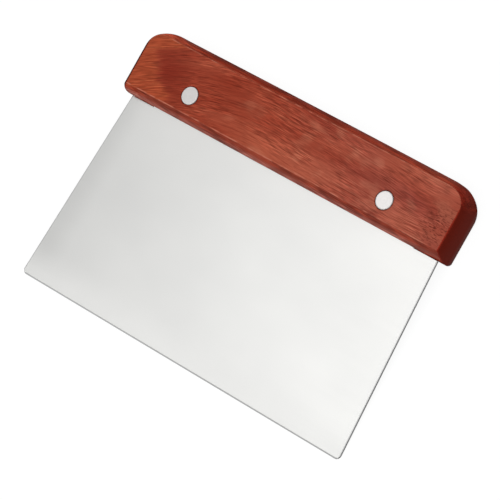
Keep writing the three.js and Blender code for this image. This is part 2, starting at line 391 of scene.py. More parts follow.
BORE_RADIUS = SLEEVE_RADIUS - SLEEVE_WALL
PIN_RADIUS = BORE_RADIUS - PIN_CLEARANCE

# In millimetres, as the hardwood has them
ARRIS = ((HANDLE_TOP - HANDLE_FOOT) / 2 - FRONT_BEVEL_HEIGHT) / MM
HOLE_RADIUS = (HEAD_RADIUS + HEAD_CLEARANCE) / MM


# Meshes


def make_object(name, mesh):
    made = bpy.data.objects.new(name, mesh)
    bpy.context.scene.collection.objects.link(made)
    return made


def make_mesh(name, points, faces):
    mesh = bpy.data.meshes.new(name)
    mesh.from_pydata(points, [], faces)
    mesh.validate()
    return mesh


def loft(name, rings):
    """A closed loft through outlines of equal point counts, from the front one to the back one."""
    count = len(rings[0])
    points = [point for ring in rings for point in ring]
    faces = [tuple(range(count))]
    for level in range(len(rings) - 1):
        start = level * count
        for i in range(count):
            after = (i + 1) % count
            faces.append((start + i, start + count + i, start + count + after, start + after))
    back_start = (len(rings) - 1) * count
    faces.append(tuple(reversed(range(back_start, back_start + count))))
    return make_mesh(name, points, faces)


def lathe(name, profile, sides):
    """A closed turned piece from a profile of (radius, z), which starts and ends on the axis."""
    points = [Vector((0, 0, profile[0][1]))]
    for radius, z in profile[1:-1]:
        for i in range(sides):
            angle = 2 * math.pi * i / sides
            points.append(Vector((radius * math.cos(angle), radius * math.sin(angle), z)))
    points.append(Vector((0, 0, profile[-1][1])))
    last = len(points) - 1
    rows = len(profile) - 2
    faces = []
    for i in range(sides):
        after = (i + 1) % sides
        faces.append((0, 1 + after, 1 + i))
        for row in range(rows - 1):
            here = 1 + row * sides
            above = here + sides
            faces.append((here + i, here + after, above + after, above + i))
        top = 1 + (rows - 1) * sides
        faces.append((top + i, top + after, last))
    return make_mesh(name, points, faces)


def settle(piece):
    """Turns a piece and its modifiers into one plain mesh."""
    depsgraph = bpy.context.evaluated_depsgraph_get()
    finished = bpy.data.meshes.new_from_object(piece.evaluated_get(depsgraph))
    piece.modifiers.clear()
    rough = piece.data
    piece.data = finished
    bpy.data.meshes.remove(rough)


def cut(piece, cutters):
    for cutter in cutters:
        boolean = piece.modifiers.new("cut", "BOOLEAN")
        boolean.operation = "DIFFERENCE"
        boolean.solver = "EXACT"
        boolean.object = cutter
    settle(piece)
    for cutter in cutters:
        bpy.data.objects.remove(cutter)


def smooth(mesh):
    mesh.polygons.foreach_set("use_smooth", [True] * len(mesh.polygons))
    mesh.set_sharp_from_angle(angle=SHARP_ANGLE)


def arc(centre, radii, start, end, steps):
    """Points on an elliptical arc, both ends included."""
    angles = [start + (end - start) * i / steps for i in range(steps + 1)]
    return [(centre[0] + radii[0] * math.cos(a), centre[1] + radii[1] * math.sin(a)) for a in angles]


# Nodes


def feed(tree, socket, value):
    """Gives a socket a value, or another node's output."""
    if isinstance(value, bpy.types.NodeSocket):
        tree.links.new(value, socket)
    else:
        socket.default_value = value


def put(tree, kind, inputs=None, **settings):
    """Adds a node, and feeds its named or numbered inputs."""
    made = tree.nodes.new(kind)
    for name, value in settings.items():
        setattr(made, name, value)
    for key, value in (inputs or {}).items():
        feed(tree, made.inputs[key], value)
    return made


def add_sockets(group, side, kind, names):
    """Gives a node group inputs or outputs of one kind."""
    for name in names:
        group.interface.new_socket(name, in_out=side, socket_type="NodeSocket" + kind)


def maths(tree, operation, first, second=0.0):
    return put(tree, "ShaderNodeMath", {0: first, 1: second}, operation=operation).outputs[0]


def fold(tree, operation, values):
    """Joins values one after another by an operation."""
    result = values[0]
    for value in values[1:]:
        result = maths(tree, operation, result, value)
    return result


def product(tree, *values):
    return fold(tree, "MULTIPLY", values)


def total(tree, *values):
    return fold(tree, "ADD", values)


def length(tree, vector):
    return put(tree, "ShaderNodeVectorMath", {0: vector}, operation="LENGTH").outputs["Value"]


def blend(tree, factor, first, second, mode="MIX"):
    """Mixes two colours."""
    made = put(tree, "ShaderNodeMix", data_type="RGBA", blend_type=mode, clamp_factor=True)
    sockets = {"Factor_Float": factor, "A_Color": first, "B_Color": second}
    for socket in made.inputs:
        if socket.identifier in sockets:
            feed(tree, socket, sockets[socket.identifier])
    return next(socket for socket in made.outputs if socket.identifier == "Result_Color")


def ramp(tree, factor, stops):
    """A colour ramp through stops of (position, colour)."""
    made = put(tree, "ShaderNodeValToRGB", {"Fac": factor})
    elements = made.color_ramp.elements
    while len(elements) < len(stops):
        elements.new(1.0)
    for element, (position, colour) in zip(elements, stops):
        element.position = position
        element.color = colour
    return made.outputs["Color"]


def spread(tree, value, low, high, out_low=0.0, out_high=1.0):
    """Maps a value's range to another one, with smooth ends."""
    inputs = {"Value": value, "From Min": low, "From Max": high, "To Min": out_low, "To Max": out_high}
    return put(tree, "ShaderNodeMapRange", inputs, interpolation_type="SMOOTHSTEP").outputs["Result"]


def hump(tree, value, middle, reach):
    """One at a middle value, falling smoothly to nothing at a reach to either side."""
    away = maths(tree, "ABSOLUTE", maths(tree, "SUBTRACT", value, middle))
    return spread(tree, away, reach, 0.0)


def speckle(tree, place, cell, detail=2.0, shift=0.0):
    """Noise whose lumps are as long, wide and deep as cell, in millimetres."""
    terms = {0: place, 1: tuple(1 / size for size in cell), 2: (shift,) * 3}
    scaled = put(tree, "ShaderNodeVectorMath", terms, operation="MULTIPLY_ADD")
    inputs = {"Vector": scaled.outputs[0], "Scale": 1.0, "Detail": detail}
    return put(tree, "ShaderNodeTexNoise", inputs).outputs["Fac"]


def lumps(tree, place, kind):
    """Noise of one kind, from its first strength to its second."""
    found = speckle(tree, place, kind.cell, kind.detail, kind.shift)
    return spread(tree, found, *kind.noise, *kind.strength)


def flat_place(tree, centre):
    """A point's place in the flat drawing, in millimetres from a centre."""
    source = put(tree, "ShaderNodeTexCoord").outputs["Object"]
    inputs = {
        "Vector": source,
        "Location": tuple(-(FLAT_ORIGIN + centre) / MM),
        "Rotation": (-LEAN, 0.0, 0.0),
        "Scale": (1 / MM,) * 3,
    }
    return put(tree, "ShaderNodeMapping", inputs, vector_type="POINT").outputs["Vector"]


def new_material(name):
    """A material with one Principled shader, its tree and that shader."""
    material = bpy.data.materials.new(name)
    material.use_nodes = True
    tree = material.node_tree
    return material, tree, tree.nodes["Principled BSDF"]


# Handle


def curve(start, corner, end, steps):
    """Points on a curve that leaves its start and meets its end along lines to one corner."""
    shares = [i / steps for i in range(steps + 1)]
    return [(1 - t) ** 2 * start + 2 * t * (1 - t) * corner + t**2 * end for t in shares]


def bevelled_edge(depth, foot_blend):
    """A bevel with a crisp arris as (inset, z), from the front face to the bar's side."""
    arris = Vector((FRONT_BEVEL_HEIGHT, FRONT_FACE))
    foot = Vector((0.0, FRONT_FACE - depth))
    along = (foot - arris).normalized()
    flat_start = arris + ARRIS_ROUND * along
    flat_end = foot - foot_blend * along
    points = curve(arris + Vector((ARRIS_ROUND, 0.0)), arris, flat_start, ARRIS_STEPS)
    points += [flat_start.lerp(flat_end, i / FLAT_STEPS) for i in range(1, FLAT_STEPS)]
    return points + curve(flat_end, foot, foot - Vector((0.0, foot_blend)), BLEND_STEPS)


def soft_edge():
    """A rounded edge as (inset, z), from the front face to the bar's side."""
    centre = (SOFT_EDGE_HEIGHT, FRONT_FACE - SOFT_EDGE_DEPTH)
    steps = ARRIS_STEPS + FLAT_STEPS + BLEND_STEPS
    return arc(centre, (SOFT_EDGE_HEIGHT, SOFT_EDGE_DEPTH), math.pi / 2, math.pi, steps)


def back_edge():
    """The rounded back edge as (inset, z), from the bar's side to the face."""
    centre = (BACK_ROUND_HEIGHT, BACK_FACE + BACK_ROUND_DEPTH)
    radii = (BACK_ROUND_HEIGHT, BACK_ROUND_DEPTH)
    return arc(centre, radii, math.pi, 1.5 * math.pi, BACK_ROUND_STEPS)


def end_inset(z):
    """How far the rounded arris at the bar's ends has drawn them in at one level."""
    depth = min(FRONT_FACE - z, z - BACK_FACE)
    if depth >= END_ROUND:
        return 0.0
    return END_ROUND - math.sqrt(END_ROUND**2 - (END_ROUND - depth) ** 2)


def half_outline(inset, end, corner_radius):
    """The right half of the bar's outline, from the middle of its underside to the middle of its top."""
    right = HANDLE_LENGTH / 2 - end
    foot = HANDLE_FOOT + inset
    corner_x = right - corner_radius
    corner_y = HANDLE_TOP - corner_radius
    foot_x = right - FOOT_CORNER
    foot_y = foot + FOOT_CORNER
    points = [(foot_x * i / LENGTH_STEPS, foot) for i in range(LENGTH_STEPS)]
    points += arc((foot_x, foot_y), (FOOT_CORNER, FOOT_CORNER), -math.pi / 2, 0, FOOT_STEPS)
    rise = corner_y - foot_y
    points += [(right, foot_y + rise * i / SIDE_STEPS) for i in range(1, SIDE_STEPS)]
    for i in range(CORNER_STEPS + 1):
        turn = math.pi / 2 * (1 - i / CORNER_STEPS)
        radius = corner_radius - inset * math.cos(turn) ** CORNER_FADE
        points.append((corner_x + radius * math.sin(turn), corner_y + radius * math.cos(turn)))
    top = HANDLE_TOP - inset
    points += [(corner_x * (1 - i / LENGTH_STEPS), top) for i in range(1, LENGTH_STEPS + 1)]
    return points


def bar_outline(inset, end):
    """The bar's outline, with its own radius at each upper corner and a slight crown along the top."""
    right = half_outline(inset, end, RIGHT_CORNER_RADIUS)
    left = half_outline(inset, end, LEFT_CORNER_RADIUS)
    points = right + [(-x, y) for x, y in reversed(left[1:-1])]
    half_height = HANDLE_TOP - HANDLE_MIDDLE
    crowned = []
    for x, y in points:
        share = max(0.0, (y - HANDLE_MIDDLE) / half_height)
        crowned.append((x, y - TOP_CAMBER * share * (2 * x / HANDLE_LENGTH) ** 2))
    return crowned


def ease(value, low, high):
    """Rises smoothly from nothing at one value to one at another."""
    share = min(1.0, max(0.0, (value - low) / (high - low)))
    return share * share * (3 - 2 * share)


def form_shares(x, y):
    """How far each edge form shows at a place: crisp, sanded soft at the left, cut deep low on the right."""
    upper = ease(y, HANDLE_MIDDLE - SOFT_EDGE_FADE, HANDLE_MIDDLE + SOFT_EDGE_FADE)
    start = LOW_SOFT_START + (SOFT_EDGE_START - LOW_SOFT_START) * upper
    full = LOW_SOFT_FULL + (SOFT_EDGE_FULL - LOW_SOFT_FULL) * upper
    soft = ease(-x, start, full)
    deep = ease(x, DEEP_BEVEL_START, DEEP_BEVEL_FULL) if y < HANDLE_MIDDLE else 0.0
    return 1 - soft - deep, soft, deep


def handle_ring(forms, ends):
    """The bar's outline at one level of each edge form. Hand sanding lets its arrises sway a little."""
    outlines = [bar_outline(inset, end) for (inset, z), end in zip(forms, ends)]
    ring = []
    for places in zip(*outlines):
        shares = form_shares(*places[0])
        levels = [(inset, *place, z) for (inset, z), place in zip(forms, places)]
        inset, x, y, z = (sum(s * value for s, value in zip(shares, values)) for values in zip(*levels))
        side = math.copysign(1, y - HANDLE_MIDDLE)
        drift = noise.noise(Vector((x / SWAY_LENGTH, side, math.copysign(1, z))))
        sway = EDGE_SWAY * drift * min(1, inset / BACK_ROUND_HEIGHT)
        ring.append(Vector((x, y - side * sway, z)))
    return ring


def handle_rings():
    crisp = bevelled_edge(FRONT_BEVEL_DEPTH, FRONT_BEVEL_BLEND)
    deep = bevelled_edge(DEEP_BEVEL_DEPTH, DEEP_BEVEL_BLEND)
    levels = [*zip(crisp, soft_edge(), deep), *((level, level, level) for level in back_edge())]
    rings = [handle_ring(forms, [end_inset(z) for inset, z in forms]) for forms in levels]
    margins = []
    for forms in (levels[0], levels[-1]):
        drawn_in = [(inset + FACE_MARGIN, z) for inset, z in forms]
        margins.append(handle_ring(drawn_in, [END_ROUND + FACE_MARGIN] * len(forms)))
    return [margins[0], *rings, margins[1]]


def slot_cutter():
    half_length = TANG_WIDTH / 2 + SLOT_CLEARANCE
    half_width = BLADE_HALF + SLOT_CLEARANCE
    bottom = HANDLE_FOOT - OVERCUT
    top = TANG_TOP + SLOT_CLEARANCE
    corners = [(-half_length, bottom), (half_length, bottom), (half_length, top), (-half_length, top)]
    rings = [[Vector((x, y, z)) for x, y in corners] for z in (half_width, -half_width)]
    return make_object("slot_cutter", loft("slot_cutter", rings))


def hole_cutter(name, profile, x):
    """A turned cutter where one of the rivets goes through."""
    mesh = lathe(name, profile, RIVET_SIDES)
    mesh.transform(Matrix.Translation((x, RIVET_Y, 0)))
    return make_object(name, mesh)


def rivet_hole_cutter(x):
    """A stepped hole: wide at both faces for the heads, narrow between them for the shank."""
    wide = HEAD_RADIUS + HEAD_CLEARANCE
    narrow = SLEEVE_RADIUS + SHANK_CLEARANCE
    seat = HEAD_INNER - HEAD_SEAT_GAP
    end = HEAD_OUTER + OVERCUT
    profile = [
        (0, -end),
        (wide, -end),
        (wide, -seat),
        (narrow, -seat),
        (narrow, seat),
        (wide, seat),
        (wide, end),
        (0, end),
    ]
    return hole_cutter("rivet_hole_cutter", profile, x)


def wooden_bar():
    bar = make_object("wooden_bar", loft("wooden_bar", handle_rings()))
    cut(bar, [slot_cutter(), rivet_hole_cutter(-RIVET_X), rivet_hole_cutter(RIVET_X)])
    smooth(bar.data)
    return bar


# Blade


def sheet_levels():
    """The sheet's edge from the front face to the back one, as (z, side inset, working edge inset)."""
    blunt = BLADE_HALF - EDGE_BEVEL_INSET
    levels = [(BLADE_HALF, SHEET_EDGE_ROUND + SHEET_MARGIN, EDGE_BEVEL_HEIGHT + SHEET_MARGIN)]
    for i in range(SHEET_ROUND_STEPS + 1):
        angle = math.pi / 2 * i / SHEET_ROUND_STEPS
        z = BLADE_HALF - SHEET_EDGE_ROUND * (1 - math.cos(angle))
        side = SHEET_EDGE_ROUND * (1 - math.sin(angle))
        bevel = EDGE_BEVEL_HEIGHT * (z - blunt) / EDGE_BEVEL_INSET
        levels.append((z, side, bevel))
    levels.append((blunt, 0.0, 0.0))
    drawn_in = [(z, side + SHEET_SKIN, bevel + SHEET_SKIN) for z, side, bevel in levels]
    return drawn_in + [(-z, side, bevel) for z, side, bevel in reversed(drawn_in)]


def sheet_ring(z, side, bevel):
    """The blade's outline at one level, drawn in at its sides and at its working edge."""
    edge = BLADE_EDGE_WIDTH / 2
    root = edge - BLADE_FLARE - side
    shoulder = HANDLE_FOOT - SHOULDER_GAP
    tang = TANG_WIDTH / 2 - side
    tang_top = TANG_TOP - side
    turn = math.atan2(BLADE_FLARE, shoulder)
    centre_x = edge - BLADE_CORNER_RADIUS * (1 + math.sin(turn)) / math.cos(turn)
    corner = (centre_x, BLADE_CORNER_RADIUS)
    radii = (BLADE_CORNER_RADIUS - side, BLADE_CORNER_RADIUS - bevel)
    half = arc(corner, radii, -math.pi / 2, turn, BLADE_ARC_STEPS)
    half += [(root, shoulder - side), (tang, shoulder - side)]
    tang_corner = (tang - TANG_CORNER_RADIUS, tang_top - TANG_CORNER_RADIUS)
    half += arc(tang_corner, (TANG_CORNER_RADIUS,) * 2, 0, math.pi / 2, BLADE_ARC_STEPS)
    outline = half + [(-x, y) for x, y in reversed(half)]
    return [Vector((x, y, z)) for x, y in outline]


def tang_hole_cutter(x):
    radius = SLEEVE_RADIUS + SHANK_CLEARANCE
    end = BLADE_HALF + OVERCUT
    return hole_cutter("tang_hole_cutter", [(0, -end), (radius, -end), (radius, end), (0, end)], x)


def steel_blade():
    rings = [sheet_ring(*level) for level in sheet_levels()]
    blade = make_object("steel_blade", loft("steel_blade", rings))
    cut(blade, [tang_hole_cutter(-RIVET_X), tang_hole_cutter(RIVET_X)])
    smooth(blade.data)
    return blade


# Rivets


def rounded_rim(outer):
    """The rounded rim of a head as (radius, z), from its side to its face at outer."""
    centre = (HEAD_RADIUS - HEAD_ROUND, outer - HEAD_ROUND)
    rim = arc(centre, (HEAD_ROUND, HEAD_ROUND), 0, math.pi / 2, HEAD_ROUND_STEPS)
    return [*rim, (HEAD_RADIUS - HEAD_ROUND - HEAD_MARGIN, outer)]


def sleeve_profile():
    """Front half of a rivet: a head with a hollow shank that is open at the back."""
    bore_floor = HEAD_INNER - SLEEVE_FLOOR
    mouth = SLEEVE_END_GAP - HEAD_INNER
    shank = [
        (0, bore_floor),
        (BORE_RADIUS, bore_floor),
        (BORE_RADIUS, mouth),
        (SLEEVE_RADIUS, mouth),
        (SLEEVE_RADIUS, HEAD_INNER),
        (HEAD_RADIUS, HEAD_INNER),
    ]
    return [*shank, *rounded_rim(HEAD_OUTER), (0, HEAD_OUTER)]


def pin_profile():
    """Back half of a rivet: a head with a solid shank that reaches up the sleeve's bore."""
    tip = HEAD_INNER - SLEEVE_FLOOR - PIN_TIP_GAP
    rim = [(radius, -z) for radius, z in reversed(rounded_rim(HEAD_OUTER))]
    shank = [(HEAD_RADIUS, -HEAD_INNER), (PIN_RADIUS, -HEAD_INNER), (PIN_RADIUS, tip), (0, tip)]
    return [(0, -HEAD_OUTER), *rim, *shank]


def rivet_row_tree():
    """Sets copies of a rivet half along the handle, each turned by its own amount."""
    tree = bpy.data.node_groups.new("rivet_row", "GeometryNodeTree")
    add_sockets(tree, "INPUT", "Geometry", ["Geometry"])
    add_sockets(tree, "INPUT", "Int", ["Count", "Seed"])
    add_sockets(tree, "INPUT", "Vector", ["First", "Step"])
    add_sockets(tree, "INPUT", "Material", ["Metal"])
    add_sockets(tree, "OUTPUT", "Geometry", ["Geometry"])
    given = tree.nodes.new("NodeGroupInput").outputs
    row = put(tree, "GeometryNodeMeshLine", {"Count": given["Count"], "Offset": given["Step"]})
    tree.links.new(given["First"], row.inputs["Start Location"])
    turns = {"Max": (0.0, 0.0, 2 * math.pi), "Seed": given["Seed"]}
    turn = put(tree, "FunctionNodeRandomValue", turns, data_type="FLOAT_VECTOR").outputs["Value"]
    placing = {"Points": row.outputs["Mesh"], "Instance": given["Geometry"], "Rotation": turn}
    copies = put(tree, "GeometryNodeInstanceOnPoints", placing)
    real = put(tree, "GeometryNodeRealizeInstances", {"Geometry": copies.outputs["Instances"]})
    dressing = {"Geometry": real.outputs["Geometry"], "Material": given["Metal"]}
    dressed = put(tree, "GeometryNodeSetMaterial", dressing)
    put(tree, "NodeGroupOutput", {"Geometry": dressed.outputs["Geometry"]})
    return tree


def mark_turning(mesh):
    """Keeps each point's place about the rivet's own axis, for the marks that turning leaves."""
    places = mesh.attributes.new("turned", "FLOAT_VECTOR", "POINT")
    places.data.foreach_set("vector", [value for vertex in mesh.vertices for value in vertex.co])


def rivet_row(name, profile, tree, metal):
    """A pair of rivet halves, one at each end of the handle."""
    mesh = lathe(name, profile, RIVET_SIDES)
    mark_turning(mesh)
    row = make_object(name, mesh)
    modifier = row.modifiers.new("rivet_row", "NODES")
    modifier.node_group = tree
    values = {
        "Count": RIVET_COUNT,
        "First": (-RIVET_X, RIVET_Y, 0.0),
        "Step": (2 * RIVET_X, 0.0, 0.0),
        "Seed": RIVET_SEED,
        "Metal": metal,
    }
    for item in tree.interface.items_tree:
        if item.in_out == "INPUT" and item.name in values:
            modifier[item.identifier] = values[item.name]
    settle(row)
    smooth(row.data)
    return row


# Hardwood


def grain_place(tree, place, axes):
    """Lets the grain slope and wander along the bar, and bend away on the faces towards the left end."""
    past = maths(tree, "MAXIMUM", maths(tree, "SUBTRACT", GRAIN_BEND_START, axes["X"]), 0.0)
    face = maths(tree, "GREATER_THAN", maths(tree, "ABSOLUTE", axes["Z"]), FACE_LEVEL)
    bend = product(tree, past, past, GRAIN_BEND, face)
    slope = maths(tree, "MULTIPLY", axes["X"], GRAIN_SLOPE)
    wander = maths(tree, "SUBTRACT", speckle(tree, place, WANDER_CELL, detail=1.0), NOISE_MIDDLE)
    sway = maths(tree, "MULTIPLY", wander, GRAIN_SWAY)
    across = total(tree, axes["Y"], bend, slope, sway)
    depth = maths(tree, "MULTIPLY", axes["Z"], GRAIN_DEPTH)
    return put(tree, "ShaderNodeCombineXYZ", {"X": axes["X"], "Y": across, "Z": depth}).outputs[0]


def wood_figure(tree, grain, axes):
    """The broad tones: reddish brown, with a glow low in the middle, paler to the right, and pinker there
    with a painted sheen.
    """
    bands = maths(tree, "SUBTRACT", speckle(tree, grain, FIGURE_CELL), NOISE_MIDDLE)
    warmth = maths(tree, "ADD", maths(tree, "MULTIPLY", bands, BAND_CONTRAST), BASE_WARMTH)
    for (middle, reach), (height, breadth), strength in GLOWS:
        along = hump(tree, axes["X"], middle, reach)
        across = hump(tree, axes["Y"], height, breadth)
        warmth = maths(tree, "ADD", warmth, product(tree, along, across, strength))
    sheen = maths(tree, "MULTIPLY", lumps(tree, grain, SHEEN_LUMPS), spread(tree, axes["X"], *SHEEN_SPAN))
    colour = blend(tree, sheen, ramp(tree, warmth, WOOD_TONES), PINK_SHEEN, "ADD")
    pale = maths(tree, "MULTIPLY", lumps(tree, grain, BLOBS), spread(tree, axes["X"], *BLOB_SPAN))
    return blend(tree, pale, colour, PALE_BLOB, "ADD")


def seam_offset(tree, grain, axes):
    """How far the seam between the heart and the sapwood strays from a straight cut across the bar."""
    wobble = maths(tree, "SUBTRACT", speckle(tree, grain, SEAM_CELL), NOISE_MIDDLE)
    sway = maths(tree, "MULTIPLY", wobble, SEAM_SWAY)
    slant = maths(tree, "MULTIPLY", axes["Y"], SEAM_SLANT)
    bulge = maths(tree, "MULTIPLY", hump(tree, axes["Y"], SEAM_BULGE_HEIGHT, SEAM_BULGE_REACH), SEAM_BULGE)
    past = maths(tree, "MAXIMUM", maths(tree, "SUBTRACT", axes["Y"], SEAM_BEND_START), 0.0)
    foot = spread(tree, axes["Y"], *SEAM_FOOT_HEIGHTS, 0.0, SEAM_FOOT)
    bend = maths(tree, "ADD", product(tree, past, past, SEAM_BEND), foot)
    return maths(tree, "SUBTRACT", total(tree, slant, sway, bulge), bend)


def heartwood(tree, grain, axes, colour):
    """Orange sapwood at the left end and a deep heart past a bent seam. Gives the colour and both masks."""
    along = maths(tree, "ADD", axes["X"], seam_offset(tree, grain, axes))
    sap = spread(tree, along, *SAP_BORDER, 0.0, SAP_COVER)
    heart = product(
        tree,
        spread(tree, along, *HEART_BORDER),
        spread(tree, axes["X"], *HEART_SPAN),
        hump(tree, axes["Y"], HEART_HEIGHT, HEART_REACH),
    )
    colour = blend(tree, sap, colour, SAP_ORANGE)
    colour = blend(tree, maths(tree, "MULTIPLY", heart, HEART_COVER), colour, HEART_RED)
    return colour, sap, heart


def top_bevel(tree, axes):
    """The upper bevel: warm, with a painted highlight by its arris, a painted reflection along its rim and
    deep red round the right corner.
    """
    left = spread(tree, axes["X"], *WARM_LEFT_SPAN)
    right = spread(tree, axes["X"], *WARM_RIGHT_SPAN)
    colour = blend(tree, maths(tree, "MAXIMUM", right, left), TOP_BEVEL, TOP_BEVEL_WARM)
    colour = blend(tree, spread(tree, axes["X"], *CORNER_SPAN), colour, CORNER_RED)
    before_corner = spread(tree, axes["X"], *STRAIGHT_SPAN, 0.0, LIT_COVER)
    lit = maths(tree, "MULTIPLY", spread(tree, axes["Z"], *LIT_LEVELS), before_corner)
    colour = blend(tree, lit, colour, TOP_BEVEL_LIT)
    fading = spread(tree, axes["X"], *STRAIGHT_SPAN, RIM_AT_CORNER, 1.0)
    rim = maths(tree, "MULTIPLY", spread(tree, axes["Z"], *RIM_LEVELS, 0.0, RIM_COVER), fading)
    return blend(tree, rim, colour, RIM_REFLECTION)


def worked_bevels(tree, grain, axes, colour):
    """Mottled bevels round the faces, the lower one pinker towards the blade with painted light reflected
    from it.
    """
    bevel = spread(tree, maths(tree, "ABSOLUTE", axes["Z"]), *BEVEL_LEVELS, 0.0, BEVEL_COVER)
    below = spread(tree, axes["Y"], *(-ARRIS - inset for inset in FOOT_INSETS))
    foot = maths(tree, "MULTIPLY", below, spread(tree, axes["Z"], *FOOT_LEVELS))
    low = blend(tree, foot, LOW_BEVEL, FOOT_BLADE_REFLECTION)
    sides = blend(tree, spread(tree, axes["Y"], *UPPER_HEIGHTS), low, top_bevel(tree, axes))
    mottled = blend(tree, 1.0, sides, lumps(tree, grain, MOTTLE), "MULTIPLY")
    return blend(tree, bevel, colour, mottled)


def wood_fibres(tree, grain, axes, sap, calm, colour):
    """Fine fibres, streaks and flecks, with quiet places between them."""
    quiet = maths(tree, "MAXIMUM", lumps(tree, grain, QUIET), sap)
    lively = product(tree, quiet, calm, spread(tree, axes["X"], *EVEN_SPAN, 1.0, EVEN_SHARE))
    dark_patches = lumps(tree, grain, DARK_PATCHES)
    light_patches = lumps(tree, grain, LIGHT_PATCHES)
    less = spread(tree, sap, 0.0, 1.0, 1.0, SAP_DARK_SHARE)
    more = spread(tree, sap, 0.0, 1.0, 1.0, SAP_LIGHT_SHARE)
    dark = product(tree, lumps(tree, grain, DARK_FIBRES), dark_patches, lively, less)
    light = product(tree, lumps(tree, grain, LIGHT_FIBRES), light_patches, lively, more)
    streaks = product(tree, lumps(tree, grain, STREAKS), dark_patches, calm, less)
    colour = blend(tree, dark, colour, FIBRE_DARK, "MULTIPLY")
    colour = blend(tree, light, colour, FIBRE_LIGHT, "MULTIPLY")
    colour = blend(tree, streaks, colour, FIBRE_DARK, "MULTIPLY")
    return blend(tree, lively, colour, lumps(tree, grain, FLECKS), "MULTIPLY")


def open_pores(tree, grain, axes, calm):
    """Mask of the open pores in the faces: a few among the dark patches and many at the right end."""
    along = spread(tree, axes["X"], *OPEN_GRAIN_SPAN)
    right_end = maths(tree, "MULTIPLY", along, hump(tree, axes["Y"], OPEN_GRAIN_HEIGHT, OPEN_GRAIN_REACH))
    stray = maths(tree, "MULTIPLY", lumps(tree, grain, DARK_PATCHES), STRAY_PORES)
    open_grain = maths(tree, "MAXIMUM", stray, right_end)
    face = spread(tree, maths(tree, "ABSOLUTE", axes["Z"]), *PORE_LEVELS)
    return product(tree, lumps(tree, grain, PORES), open_grain, calm, face)


def arris_highlights(tree, grain, axes, colour):
    """Painted highlights, broken here and there, along the front arrises."""
    line = hump(tree, maths(tree, "ABSOLUTE", axes["Y"]), ARRIS - HIGHLIGHT_INSET, HIGHLIGHT_BREADTH)
    front = spread(tree, axes["Z"], *HIGHLIGHT_LEVELS)
    reach = spread(tree, axes["X"], *HIGHLIGHT_SPAN)
    side = spread(tree, axes["Y"], *UPPER_HEIGHTS, 1.0, TOP_HIGHLIGHT)
    highlight_line = product(tree, line, front, reach, lumps(tree, grain, HIGHLIGHT_BREAKS), side)
    return blend(tree, highlight_line, colour, ARRIS_HIGHLIGHT)


def end_grain(tree, axes, colour):
    """The bar's darker flat ends with a painted reflection, and softly the last of its right upper corner
    behind the front face. A painted shade lines the left end's front arris.
    """
    behind = spread(tree, axes["Z"], *END_CORNER_LEVELS)
    upper = spread(tree, axes["Y"], *END_CORNER_HEIGHTS)
    corner = product(tree, spread(tree, axes["X"], *END_CORNER_SPAN), upper, behind)
    right = spread(tree, axes["X"], *RIGHT_END_SPAN)
    front_reflection = spread(tree, axes["Z"], *FRONT_REFLECTION_LEVELS, 0.0, FRONT_REFLECTION)
    back_reflection = spread(tree, axes["Z"], *BACK_REFLECTION_LEVELS, 0.0, BACK_REFLECTION)
    face = blend(tree, maths(tree, "ADD", front_reflection, back_reflection), END_GRAIN, END_REFLECTION)
    colour = blend(tree, maths(tree, "MAXIMUM", right, corner), colour, face)
    left = spread(tree, axes["X"], *LEFT_END_SPAN)
    colour = blend(tree, left, colour, END_GRAIN)
    shade = maths(tree, "MULTIPLY", left, spread(tree, axes["Z"], *END_SHADE_LEVELS))
    return blend(tree, shade, colour, END_SHADE)


def rivet_gap_shade(tree, place, axes, colour):
    """Dark round the rivet holes and down their walls: painted shade of the gap round each rivet."""
    beside = maths(tree, "SUBTRACT", maths(tree, "ABSOLUTE", axes["X"]), RIVET_X / MM)
    above = maths(tree, "SUBTRACT", axes["Y"], (RIVET_Y - HANDLE_MIDDLE) / MM)
    spoke = put(tree, "ShaderNodeCombineXYZ", {"X": beside, "Y": above}).outputs[0]
    ring = spread(tree, length(tree, spoke), HOLE_RADIUS + GAP_SHADE_WIDTH, HOLE_RADIUS)
    return blend(tree, maths(tree, "MULTIPLY", ring, lumps(tree, place, GAP_SHADE_LUMPS)), colour, PORE_BROWN)


def lacquered_wood():
    material, tree, shader = new_material("lacquered_hardwood")
    place = flat_place(tree, Vector((0, HANDLE_MIDDLE, 0)))
    axes = put(tree, "ShaderNodeSeparateXYZ", {"Vector": place}).outputs
    grain = grain_place(tree, place, axes)
    colour, sap, heart = heartwood(tree, grain, axes, wood_figure(tree, grain, axes))
    calm = maths(tree, "SUBTRACT", 1.0, maths(tree, "MULTIPLY", heart, HEART_CALM))
    colour = worked_bevels(tree, grain, axes, colour)
    colour = wood_fibres(tree, grain, axes, sap, calm, colour)
    pores = open_pores(tree, grain, axes, calm)
    colour = blend(tree, maths(tree, "MULTIPLY", pores, PORE_COVER), colour, PORE_BROWN)
    # Painted highlights along the front arrises
    colour = arris_highlights(tree, grain, axes, colour)
    colour = end_grain(tree, axes, colour)
    # Painted shade of the gaps round the rivets
    colour = rivet_gap_shade(tree, place, axes, colour)
    tree.links.new(colour, shader.inputs["Base Color"])
    tree.links.new(spread(tree, pores, 0.0, 1.0, *WOOD_ROUGHNESS), shader.inputs["Roughness"])
    bump = {"Strength": PORE_RELIEF, "Distance": PORE_DEPTH, "Height": pores}
    relief = put(tree, "ShaderNodeBump", bump, invert=True)
    tree.links.new(relief.outputs["Normal"], shader.inputs["Normal"])
    shader.inputs["Specular IOR Level"].default_value = WOOD_GLOSS
    return material


# Metals


